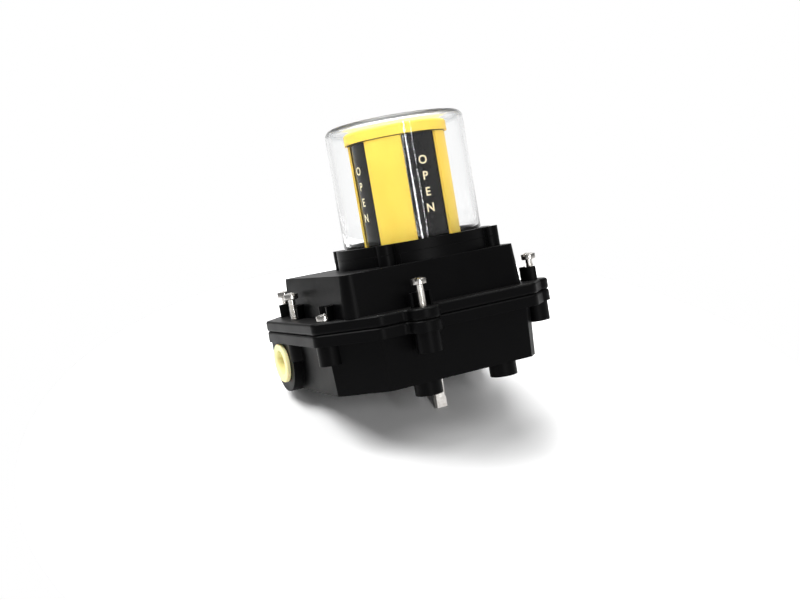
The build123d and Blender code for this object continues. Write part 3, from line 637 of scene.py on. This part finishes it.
@dataclass
class CoverScrews:
    """Captive slotted screws with rolled threads, drawn out or driven home."""

    wardrobe: Wardrobe
    pitch: float = 0.0008
    thread_depth: float = 0.00042
    thread_steps: int = 20
    plain_length: float = 0.003
    slot_width: float = 0.0014
    slot_depth: float = 0.0022
    dome_height: float = 0.0011
    edge: float = 0.0004
    seat: float = 0.00003
    head_share: float = 0.1519
    shank_radius: float = 0.0025
    reach: float = 0.012
    first_turn: float = 25.0
    next_turn: float = 67.0

    def head(self, radius: float, height: float) -> bpy.types.Object:
        """Turn the head and cut its slot.

        Args:
            radius: the head's radius in metres.
            height: the head's height in metres.

        Returns:
            A closed head with its underside at height 0.
        """
        shoulder = height - self.dome_height
        sphere = (radius**2 + self.dome_height**2) / (2 * self.dome_height)
        half = math.degrees(math.asin((radius - self.edge) / sphere))
        crown = arc((0.0, height - sphere), sphere, 90 - half, 90, 6)
        outline = [(0.0, 0.0), (radius - self.edge, 0.0), (radius, self.edge), (radius, shoulder)]
        outline += [(radius - self.edge * 0.3, shoulder + self.edge * 0.7), *crown]
        outline = [(out, max(along, self.seat)) for out, along in outline]
        head = lathe("screw_head", outline, 48)
        deselect()
        bpy.ops.mesh.primitive_cube_add(size=1.0, location=(0.0, 0.0, height))
        cutter = bpy.context.object
        cutter.scale = (4 * radius, self.slot_width, 2 * self.slot_depth)
        pick(cutter)
        bpy.ops.object.transform_apply(location=True, rotation=True, scale=True)
        apply_modifier(head, "BOOLEAN", object=cutter, operation="DIFFERENCE", solver="EXACT")
        discard(cutter)
        return head

    def shank(self, radius: float, length: float) -> bpy.types.Object:
        """Roll the thread under a short plain neck.

        Args:
            radius: the thread's outer radius in metres.
            length: distance from the head's underside to the tip in metres.

        Returns:
            A closed shank that reaches a little into the head.
        """
        root = radius - self.thread_depth
        threaded = length - self.plain_length
        turns = math.ceil(threaded / self.pitch) + 2
        tooth = [(root, 0.0), (root, 0.14), (radius, 0.42), (radius, 0.56), (root, 0.86), (root, 1.0)]
        start = -length - self.pitch
        points = [Vector((out, 0.0, start + share * self.pitch)) for out, share in tooth]
        thread = draw_outline(points)
        bpy.ops.object.mode_set(mode="OBJECT")
        apply_modifier(
            thread,
            "SCREW",
            angle=2 * math.pi,
            screw_offset=self.pitch,
            iterations=turns,
            steps=self.thread_steps,
            render_steps=self.thread_steps,
        )
        bpy.ops.object.mode_set(mode="EDIT")
        bpy.ops.mesh.select_all(action="SELECT")
        bpy.ops.mesh.remove_doubles(threshold=WELD * 10)
        for level, direction in ((-length, -1.0), (-self.plain_length, 1.0)):
            bpy.ops.mesh.select_all(action="SELECT")
            bpy.ops.mesh.bisect(
                plane_co=(0.0, 0.0, level),
                plane_no=(0.0, 0.0, direction),
                use_fill=True,
                clear_outer=True,
                threshold=WELD,
            )
        settle(thread, "screw_thread", 30.0)
        neck_outline = [
            (0.0, -self.plain_length - self.pitch),
            (root, -self.plain_length - self.pitch),
            (root, self.edge),
            (0.0, self.edge),
        ]
        neck = lathe("screw_neck", neck_outline, 40)
        return join("screw_shank", [thread, neck])

    def build(self) -> list[bpy.types.Object]:
        """Model one screw and set a copy at each place of both groups."""
        made = []
        for node, body in (
            ("raised_cover_screws", "raised_screws"),
            ("driven_cover_screws", "driven_screws"),
        ):
            places = stations(node, self.reach)
            low, high = places[0]
            height = high.z - low.z
            head_height = height * self.head_share
            head = self.head((high.x - low.x) / 2, head_height)
            model = join("screw_model", [head, self.shank(self.shank_radius, height - head_height)])
            copies = []
            for index, (low, high) in enumerate(places):
                center = (low + high) / 2
                turn = Matrix.Rotation(math.radians(self.first_turn + self.next_turn * index), 4, "Z")
                place = Matrix.Translation((center.x, center.y, high.z - head_height))
                copies.append(copy_of(model, place @ turn))
            discard(model)
            screws = join(node + "_threaded", copies)
            self.wardrobe.wear(screws, FINISHES[Slot.STAINLESS])
            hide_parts(node)
            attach(screws, body)
            made.append(screws)
        return made


@dataclass
class Dome:
    """Clear moulded dome with a rounded top edge and a flange under its clamp."""

    wardrobe: Wardrobe
    wall: float = 0.003
    edge_radius: float = 0.005
    flange_thickness: float = 0.003
    body_radius: float = 0.044
    neck_radius: float = 0.0008
    flange_edge: float = 0.0003
    steps: int = 256

    def build(self) -> bpy.types.Object:
        """Turn the dome round the shaft's axis."""
        low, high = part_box("dome")
        reach = high.x
        edge = self.flange_edge
        flange_top = low.z + self.flange_thickness
        inner = self.body_radius - self.wall
        inner_edge = self.edge_radius - self.wall
        turned = self.edge_radius
        outer_top = arc((self.body_radius - turned, high.z - turned), turned, 0, 90, 10)
        inner_top = arc((inner - inner_edge, high.z - self.wall - inner_edge), inner_edge, 90, 0, 6)
        hollow = self.neck_radius
        neck = arc((self.body_radius + hollow, flange_top + hollow), hollow, 270, 180, 4)
        outline = [
            (0.0, high.z - self.wall),
            *inner_top,
            (inner, low.z),
            (reach - edge, low.z),
            (reach, low.z + edge),
            (reach, flange_top - edge),
            (reach - edge, flange_top),
            *neck,
            *outer_top,
            (0.0, high.z),
        ]
        dome = lathe("clear_dome_shell", outline, self.steps)
        self.wardrobe.wear(dome, FINISHES[Slot.CLEAR])
        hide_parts("dome")
        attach(dome, "cover")
        return dome


@dataclass
class Indicator:
    """Black drum with its words, inside the turning yellow mask."""

    wardrobe: Wardrobe
    offset: float = 3.0
    open_word: str = "OPEN"
    shut_word: str = "CLOSED"
    letter_height: float = 0.0052
    cap_share: float = 0.71
    open_pitch: float = 0.0099
    shut_pitch: float = 0.0086
    shut_rise: float = 0.006
    top_gap: float = 0.0165
    wall: float = 0.0016
    wall_rows: int = 40
    ripple: float = 0.00016
    ripple_size: float = 0.007
    letter_lift: float = 0.0002
    letter_weight: float = 0.00012
    letter_thickness: float = 0.00006
    cap_thickness: float = 0.007
    tab_radius: float = 0.031
    shadow_ring_height: float = 0.0005

    def drum(self) -> bpy.types.Object:
        """Turn the drum and let its film ripple a little."""
        low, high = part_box("indicator_drum")
        outer = high.x - self.ripple / 2
        inner = outer - self.wall
        rows = self.wall_rows
        wall = [(outer, low.z + (high.z - low.z) * row / rows) for row in range(rows + 1)]
        outline = [(inner, low.z), *wall, (inner, high.z), (inner, low.z)]
        drum = lathe("indicator_drum_film", outline, 180)
        cloud = bpy.data.textures.new("film_ripple", "CLOUDS")
        cloud.noise_scale = self.ripple_size
        settings = {"texture": cloud, "strength": self.ripple, "mid_level": 0.5, "texture_coords": "LOCAL"}
        apply_modifier(drum, "DISPLACE", **settings)
        bpy.data.textures.remove(cloud)
        pick(drum)
        bpy.ops.object.shade_smooth_by_angle(angle=math.radians(40))
        self.wardrobe.wear(drum, FINISHES[Slot.BLACK])
        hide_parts("indicator_drum")
        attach(drum, "cover")
        return drum

    def letter(self, sign: str) -> bpy.types.Object:
        """Cut one letter out of thin ink, centred on its own origin."""
        deselect()
        bpy.ops.object.text_add()
        text = bpy.context.object
        text.data.body = sign
        text.data.size = self.letter_height / self.cap_share
        text.data.offset = self.letter_weight
        text.data.align_x = "CENTER"
        text.data.resolution_u = 6
        pick(text)
        bpy.ops.object.convert(target="MESH")
        mesh = bpy.context.object
        apply_modifier(mesh, "SOLIDIFY", thickness=self.letter_thickness, offset=1.0)
        bpy.ops.object.mode_set(mode="EDIT")
        settle(mesh, "letter_" + sign, 30.0)
        return mesh

    def words(self) -> list[bpy.types.Object]:
        """Stack the letters of each word down the drum, one word to each eighth."""
        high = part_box("indicator_drum")[1]
        radius = high.x + self.letter_lift
        made = []
        for word, first, pitch, rise in (
            (self.open_word, 0.0, self.open_pitch, 0.0),
            (self.shut_word, 45.0, self.shut_pitch, self.shut_rise),
        ):
            letters = {sign: self.letter(sign) for sign in sorted(set(word))}
            copies = []
            for quarter in range(4):
                angle = math.radians(first + 90 * quarter + self.offset)
                outward = Vector((math.cos(angle), math.sin(angle), 0.0))
                along = Vector((-math.sin(angle), math.cos(angle), 0.0))
                for row, sign in enumerate(word):
                    level = high.z - self.top_gap - self.letter_height / 2 - row * pitch + rise
                    place = Matrix.Identity(4)
                    place.col[0][:3] = along
                    place.col[1][:3] = UP
                    place.col[2][:3] = outward
                    place.col[3][:3] = outward * radius + UP * level
                    copies.append(copy_of(letters[sign], place))
            for sign in letters.values():
                discard(sign)
            piece = join("indicator_word_" + word.lower(), copies)
            self.wardrobe.wear(piece, WORD_INK)
            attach(piece, "cover")
            made.append(piece)
        return made

    def cap_shadow_ring(self) -> bpy.types.Object:
        """Turn a thin dark ring under the mask's cap, a painted shadow where the cap's overhang shades the
        tabs.
        """
        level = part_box("indicator_mask")[1].z - self.cap_thickness
        radius = self.tab_radius
        half = self.shadow_ring_height / 2
        outline = [
            (radius - half, level - self.shadow_ring_height),
            (radius + half * 0.6, level - self.shadow_ring_height * 0.8),
            (radius + half, level - half),
            (radius + half * 0.6, level - self.shadow_ring_height * 0.2),
            (radius - half, level),
            (radius - half, level - self.shadow_ring_height),
        ]
        # Dark rubber-finished ring: a painted shadow standing in for the shade under the cap's overhang.
        cap_shadow_ring = lathe("mask_cap_painted_shadow", outline, 160)
        self.wardrobe.wear(cap_shadow_ring, FINISHES[Slot.RUBBER])
        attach(cap_shadow_ring, "mask")
        return cap_shadow_ring

    def build(self) -> list[bpy.types.Object]:
        """Make the drum, the words on it and the painted shadow ring under the mask's cap."""
        return [self.drum(), *self.words(), self.cap_shadow_ring()]


@dataclass
class EntryPlug:
    """Hollow push-in thread plug with a rounded flange."""

    wardrobe: Wardrobe
    flange_thickness: float = 0.0026
    shank_radius: float = 0.00915
    wall: float = 0.0013
    thread_pitch: float = 0.0015
    thread_depth: float = 0.0005
    rim_radius: float = 0.0009

    def build(self) -> bpy.types.Object:
        """Turn the plug round the entry's axis."""
        low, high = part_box("conduit_plug")
        center = (low + high) / 2
        flange_radius = (high.y - low.y) / 2
        length = high.x - low.x
        bore = self.shank_radius - self.wall
        rim = self.rim_radius
        back = self.flange_thickness
        floor = length - self.wall
        outline = [(0.0, floor), (bore - 0.0006, floor), (bore, floor - 0.0006)]
        outline += [(bore, 0.0012), (bore + 0.0004, 0.0004), (bore + 0.0012, 0.0)]
        outline += arc((flange_radius - rim, rim), rim, 270, 360, 6)
        outline += [(flange_radius, back - 0.0003), (flange_radius - 0.0003, back), (self.shank_radius, back)]
        ridges = int((length - back - 0.001) / self.thread_pitch)
        for ridge in range(ridges):
            start = back + 0.0004 + ridge * self.thread_pitch
            outline += [
                (self.shank_radius - self.thread_depth, start + 0.2 * self.thread_pitch),
                (self.shank_radius, start + 0.5 * self.thread_pitch),
                (self.shank_radius - self.thread_depth, start + 0.8 * self.thread_pitch),
            ]
        outline += [(self.shank_radius - self.thread_depth, length), (0.0, length)]
        foot = Vector((low.x, center.y, center.z))
        plug = lathe("entry_plug_ridged", outline, 72, foot, RIGHT, UP)
        self.wardrobe.wear(plug, FINISHES[Slot.PLUG])
        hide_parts("conduit_plug")
        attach(plug, "housing")
        return plug


# ---------------------------------------------------------------- studio


@dataclass(frozen=True)
class Softbox:
    """One lamp: the way to it from the object (up, ahead and right), its distance, face and power."""

    name: str
    up: float
    ahead: float
    right: float
    distance: float
    face: tuple[float, float]
    power: float


@dataclass
class Studio:
    """Camera, tilted floor and soft light; the box leans on its shaft's end."""

    yaw: float = 24.0
    pitch: float = 4.5
    roll: float = 9.8
    distance: float = 0.639
    sidestep: float = 0.0146
    eye_level: float = 0.1045
    lens: float = 45.0
    floor_drop: float = -0.020
    floor_rise: float = 0.369
    floor_fall: float = -0.173
    floor_radius: float = 0.26
    plain_strength: float = 0.12
    room_share: float = 0.85
    lamp_level: float = 0.07
    softboxes: tuple[Softbox, ...] = (
        Softbox("key_softbox", 1.3, -0.5, -0.75, 0.9, (0.5, 0.5), 8.8),
        Softbox("fill_softbox", 0.9, -0.6, 0.9, 1.0, (0.6, 0.6), 3.0),
        Softbox("top_softbox", 1.0, 0.3, 0.0, 1.0, (0.6, 0.6), 14.0),
        Softbox("near_strip", 0.08, -1.0, 0.26, 1.4, (0.06, 0.45), 3.9),
        Softbox("far_strip", 0.08, -1.0, 0.46, 1.4, (0.022, 0.45), 1.4),
    )

    def directions(self) -> tuple[Vector, Vector]:
        """Level directions away from the camera and to its right."""
        angle = math.radians(self.yaw)
        ahead = Vector((math.sin(angle), math.cos(angle), 0.0))
        return ahead, Vector((math.cos(angle), -math.sin(angle), 0.0))

    def camera(self) -> bpy.types.Object:
        """Set the camera up and make it the scene's own."""
        ahead, right = self.directions()
        dip = math.radians(self.pitch)
        forward = ahead * math.cos(dip) - UP * math.sin(dip)
        above = right.cross(forward)
        lean = math.radians(self.roll)
        across = right * math.cos(lean) - above * math.sin(lean)
        upward = right * math.sin(lean) + above * math.cos(lean)
        data = bpy.data.cameras.new("camera")
        data.lens = self.lens
        data.clip_start = 0.01
        camera = bpy.data.objects.new("camera", data)
        bpy.context.scene.collection.objects.link(camera)
        spot = ahead * -self.distance - right * self.sidestep + UP * self.eye_level
        rotation = Matrix((across, upward, -forward)).transposed()
        camera.matrix_world = Matrix.Translation(spot) @ rotation.to_4x4()
        bpy.context.scene.camera = camera
        return camera

    def floor(self) -> bpy.types.Object:
        """Lay the floor on which the shaft's end and one foot rest."""
        ahead, right = self.directions()
        normal = (UP - ahead * self.floor_rise - right * self.floor_fall).normalized()
        deselect()
        bpy.ops.mesh.primitive_circle_add(vertices=96, radius=self.floor_radius, fill_type="NGON")
        floor = bpy.context.object
        floor.name = "floor"
        tilt = UP.rotation_difference(normal).to_matrix().to_4x4()
        floor.matrix_world = Matrix.Translation(UP * self.floor_drop) @ tilt
        bpy.ops.object.transform_apply(location=True, rotation=True, scale=True)
        shader = new_shader("floor_finish")
        grain = shader.noise(shader.place(), 40.0, 3.0)
        tone = shader.tint(grain, shade(0.8, 0.8, 0.8), shade(0.82, 0.82, 0.82))
        pale = shader.node("ShaderNodeBsdfDiffuse", {}, {"Color": tone})
        seen = shader.node("ShaderNodeLightPath", {}, {}, "Is Camera Ray")
        lift = shader.tint(seen, shade(0.0, 0.0, 0.0), shade(0.2, 0.2, 0.2))
        bright = shader.node("ShaderNodeBsdfDiffuse", {}, {"Color": lift})
        floor.data.materials.append(shader.finish(shader.node("ShaderNodeAddShader", {}, {0: pale, 1: bright})))
        return floor

    def lamp(self, softbox: Softbox) -> bpy.types.Object:
        """Hang a softbox that faces the dome's foot.

        Args:
            softbox: where the lamp hangs, its size and its power.

        Returns:
            The lamp.
        """
        data = bpy.data.lights.new(softbox.name, "AREA")
        data.shape = "RECTANGLE"
        data.size, data.size_y = softbox.face
        data.energy = softbox.power
        lamp = bpy.data.objects.new(softbox.name, data)
        bpy.context.scene.collection.objects.link(lamp)
        ahead, right = self.directions()
        toward = (UP * softbox.up + ahead * softbox.ahead + right * softbox.right).normalized()
        spot = Matrix.Translation(UP * self.lamp_level + toward * softbox.distance)
        lamp.matrix_world = spot @ toward.to_track_quat("Z", "Y").to_matrix().to_4x4()
        return lamp

    def world(self) -> None:
        """White surroundings for what is seen, plain light for what is lit."""
        world = bpy.data.worlds.new("surroundings")
        bpy.context.scene.world = world
        shader = Shader(world)
        camera, glossy, through = (
            shader.node("ShaderNodeLightPath", {}, {}, ray)
            for ray in ("Is Camera Ray", "Is Glossy Ray", "Is Transmission Ray")
        )
        direct = (camera + glossy + through).clipped()
        ahead = self.directions()[0]
        way = shader.node("ShaderNodeTexCoord", {}, {}, "Generated")
        along = {"operation": "DOT_PRODUCT"}
        away = shader.node("ShaderNodeVectorMath", along, {0: way, 1: tuple(ahead)}, "Value")
        rise = shader.node("ShaderNodeSeparateXYZ", {}, {0: way}, "Z")
        walls = (rise * 10.0 + 0.5).clipped() * (1.0 - (rise * 5.0 - 3.0).clipped())
        behind = (away * 8.0 - 6.2).clipped()
        dim = walls * (1.0 - behind) * glossy * (1.0 - through) * self.room_share
        strength = direct * (1.0 - self.plain_strength) + self.plain_strength - dim
        sky = shader.node("ShaderNodeBackground", {}, {"Color": shade(1.0, 1.0, 1.0), "Strength": strength})
        shader.node("ShaderNodeOutputWorld", {}, {"Surface": sky})

    def build(self) -> None:
        """Set up the camera, the floor and the light."""
        self.camera()
        self.floor()
        for softbox in self.softboxes:
            self.lamp(softbox)
        self.world()
        bpy.context.scene.view_settings.view_transform = "Standard"


# ---------------------------------------------------------------- dressing the CAD nodes


def dress_nodes(wardrobe: Wardrobe) -> int:
    """Give every CAD node the finish of its material slot.

    Args:
        wardrobe: maker of the finishes.

    Returns:
        How many nodes were dressed.
    """
    slots = {row["node"]: row["material_slot"] for row in frame["record"]["subparts"]}
    for name, node in frame["nodes"].items():
        wardrobe.wear(node, FINISHES[Slot(slots[name])])
    return len(slots)


def corners(box: Any) -> list[list[float]]:
    """A box's two corners as plain lists."""
    return [[float(value) for value in corner] for corner in box]


def main() -> None:
    """Build the sub-assemblies in order, then the studio."""
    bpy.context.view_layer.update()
    wardrobe = Wardrobe()
    log.info("dressed %d CAD nodes", dress_nodes(wardrobe))
    pieces: list[bpy.types.Object] = []
    pieces += CoverScrews(wardrobe).build()
    pieces.append(Dome(wardrobe).build())
    pieces += Indicator(wardrobe).build()
    pieces.append(EntryPlug(wardrobe).build())
    for piece in pieces:
        log.info("%s: %d faces", piece.name, len(piece.data.polygons))
    Studio().build()


if __name__ == "__main__":
    main()
